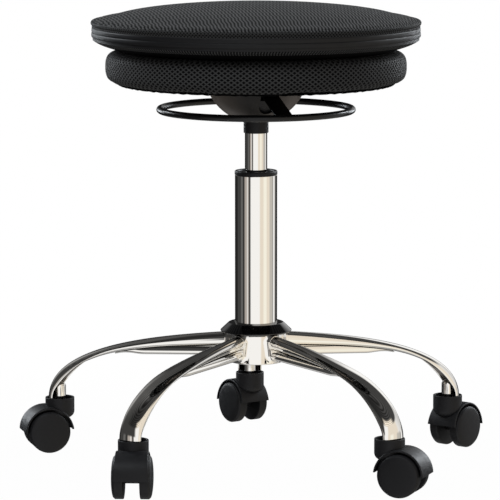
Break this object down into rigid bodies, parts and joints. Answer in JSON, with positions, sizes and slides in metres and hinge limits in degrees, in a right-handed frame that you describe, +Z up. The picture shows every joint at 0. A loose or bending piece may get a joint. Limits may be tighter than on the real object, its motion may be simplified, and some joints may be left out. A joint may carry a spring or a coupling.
{
  "type": "balance stool",
  "caption": "Round balance stool: air-filled mesh cushion on a padded seat, gas lift with a ring release, chromed star base with formed legs on hooded casters.",
  "frame": {"origin": "on the floor, on the axis of the column", "axes": "+Z up along the column, -Y towards the front of the picture, +X to the right"},
  "size_m": [0.5658, 0.5493, 0.5469],
  "materials": {
    "chrome": "polished",
    "steel": "ground",
    "dome_steel": "satin dark grey",
    "black_rod": "semi-gloss black",
    "black_plastic": "matte black",
    "gloss_black": "glossy black",
    "caster_nylon": "satin black moulding",
    "black_mesh": "black spacer mesh",
    "satin_band": "smooth satin band",
    "bladder_vinyl": "grey vinyl film",
    "plywood": "bare plywood"
  },
  "bodies": {
    "base": {"hub": "chrome", "hub_trim_collar": "gloss_black", "column_tube": "chrome", "guide_bush": "black_plastic", "column_end_cap": "black_plastic", "thrust_bearing": "steel", "leg_1": "chrome", "leg_2": "chrome", "leg_3": "chrome", "leg_4": "chrome", "leg_5": "chrome", "brace_1": "chrome", "brace_2": "chrome", "brace_3": "chrome", "brace_4": "chrome", "brace_5": "chrome", "stem_socket_1": "chrome", "stem_socket_2": "chrome", "stem_socket_3": "chrome", "stem_socket_4": "chrome", "stem_socket_5": "chrome", "caster_stem_1": "steel", "caster_stem_2": "steel", "caster_stem_3": "steel", "caster_stem_4": "steel", "caster_stem_5": "steel"},
    "lift_rod": {"piston_rod": "steel"},
    "seat": {"gas_cylinder": "chrome", "taper_socket": "black_plastic", "mechanism_dome": "dome_steel", "seat_board": "plywood", "seat_pad": "black_mesh"},
    "release_lever": {"release_ring": "black_rod"},
    "valve_pin": {"release_pin": "steel"},
    "air_cell": {"air_bladder": "bladder_vinyl"},
    "cushion": {"cushion_top": "black_mesh", "zip_band": "satin_band", "cushion_underside": "black_mesh"},
    "caster_1": {"caster_hood_1": "caster_nylon", "caster_axle_1": "steel"},
    "wheel_left_1": {"wheel_left_1": "caster_nylon"},
    "wheel_right_1": {"wheel_right_1": "caster_nylon"},
    "caster_2": {"caster_hood_2": "caster_nylon", "caster_axle_2": "steel"},
    "wheel_left_2": {"wheel_left_2": "caster_nylon"},
    "wheel_right_2": {"wheel_right_2": "caster_nylon"},
    "caster_3": {"caster_hood_3": "caster_nylon", "caster_axle_3": "steel"},
    "wheel_left_3": {"wheel_left_3": "caster_nylon"},
    "wheel_right_3": {"wheel_right_3": "caster_nylon"},
    "caster_4": {"caster_hood_4": "caster_nylon", "caster_axle_4": "steel"},
    "wheel_left_4": {"wheel_left_4": "caster_nylon"},
    "wheel_right_4": {"wheel_right_4": "caster_nylon"},
    "caster_5": {"caster_hood_5": "caster_nylon", "caster_axle_5": "steel"},
    "wheel_left_5": {"wheel_left_5": "caster_nylon"},
    "wheel_right_5": {"wheel_right_5": "caster_nylon"}
  },
  "joints": [
    {"name": "seat_swivel", "type": "hinge", "parent": "base", "child": "lift_rod", "pos_m": [0, 0, 0.1343], "axis": [0, 0, 1], "continuous": true},
    {"name": "seat_height", "type": "slide", "parent": "lift_rod", "child": "seat", "axis": [0, 0, 1], "range_m": [-0.04, 0.08]},
    {"name": "ring_lift", "type": "hinge", "parent": "seat", "child": "release_lever", "pos_m": [0.01854, -0.05916, 0.4476], "axis": [-0.9542, -0.299, 0], "range_deg": [0, 2.5], "stiffness_Nm_per_rad": 15, "springref_deg": -2.86},
    {"name": "pin_press", "type": "slide", "parent": "seat", "child": "valve_pin", "axis": [0, 0, -1], "range_m": [0, 0.0028]},
    {"name": "tilt_forward", "type": "hinge", "parent": "seat", "child": "air_cell", "pos_m": [0, 0, 0.493], "axis": [1, 0, 0], "range_deg": [-4, 4], "stiffness_Nm_per_rad": 60, "deforming": ["air_bladder", "cushion_underside"]},
    {"name": "tilt_sideways", "type": "hinge", "parent": "air_cell", "child": "cushion", "pos_m": [0, 0, 0.493], "axis": [0, 1, 0], "range_deg": [-4, 4], "stiffness_Nm_per_rad": 60, "deforming": ["air_bladder", "cushion_underside"]},
    {"name": "caster_swivel_1", "type": "hinge", "parent": "base", "child": "caster_1", "pos_m": [-0.13923, -0.20487, 0.056], "axis": [0, 0, 1], "continuous": true},
    {"name": "wheel_spin_left_1", "type": "hinge", "parent": "caster_1", "child": "wheel_left_1", "pos_m": [-0.13994, -0.22115, 0.025], "axis": [0.999, -0.0436, 0], "continuous": true},
    {"name": "wheel_spin_right_1", "type": "hinge", "parent": "caster_1", "child": "wheel_right_1", "pos_m": [-0.13994, -0.22115, 0.025], "axis": [0.999, -0.0436, 0], "continuous": true},
    {"name": "caster_swivel_2", "type": "hinge", "parent": "base", "child": "caster_2", "pos_m": [0.15182, -0.19572, 0.056], "axis": [0, 0, 1], "continuous": true},
    {"name": "wheel_spin_left_2", "type": "hinge", "parent": "caster_2", "child": "wheel_left_2", "pos_m": [0.16709, -0.20143, 0.025], "axis": [0.3502, 0.9367, 0], "continuous": true},
    {"name": "wheel_spin_right_2", "type": "hinge", "parent": "caster_2", "child": "wheel_right_2", "pos_m": [0.16709, -0.20143, 0.025], "axis": [0.3502, 0.9367, 0], "continuous": true},
    {"name": "caster_swivel_3", "type": "hinge", "parent": "base", "child": "caster_3", "pos_m": [0.23306, 0.0839, 0.056], "axis": [0, 0, 1], "continuous": true},
    {"name": "wheel_spin_left_3", "type": "hinge", "parent": "caster_3", "child": "wheel_left_3", "pos_m": [0.2432, 0.09666, 0.025], "axis": [-0.7826, 0.6225, 0], "continuous": true},
    {"name": "wheel_spin_right_3", "type": "hinge", "parent": "caster_3", "child": "wheel_right_3", "pos_m": [0.2432, 0.09666, 0.025], "axis": [-0.7826, 0.6225, 0], "continuous": true},
    {"name": "caster_swivel_4", "type": "hinge", "parent": "base", "child": "caster_4", "pos_m": [-0.00778, 0.24758, 0.056], "axis": [0, 0, 1], "continuous": true},
    {"name": "wheel_spin_left_4", "type": "hinge", "parent": "caster_4", "child": "wheel_left_4", "pos_m": [-0.01678, 0.26117, 0.025], "axis": [-0.8339, -0.5519, 0], "continuous": true},
    {"name": "wheel_spin_right_4", "type": "hinge", "parent": "caster_4", "child": "wheel_right_4", "pos_m": [-0.01678, 0.26117, 0.025], "axis": [-0.8339, -0.5519, 0], "continuous": true},
    {"name": "caster_swivel_5", "type": "hinge", "parent": "base", "child": "caster_5", "pos_m": [-0.23786, 0.06911, 0.056], "axis": [0, 0, 1], "continuous": true},
    {"name": "wheel_spin_left_5", "type": "hinge", "parent": "caster_5", "child": "wheel_left_5", "pos_m": [-0.25357, 0.06475, 0.025], "axis": [0.2672, -0.9636, 0], "continuous": true},
    {"name": "wheel_spin_right_5", "type": "hinge", "parent": "caster_5", "child": "wheel_right_5", "pos_m": [-0.25357, 0.06475, 0.025], "axis": [0.2672, -0.9636, 0], "continuous": true}
  ],
  "couplings": [
    {"joint": "pin_press", "follows": "ring_lift", "m_per_rad": 0.062}
  ]
}
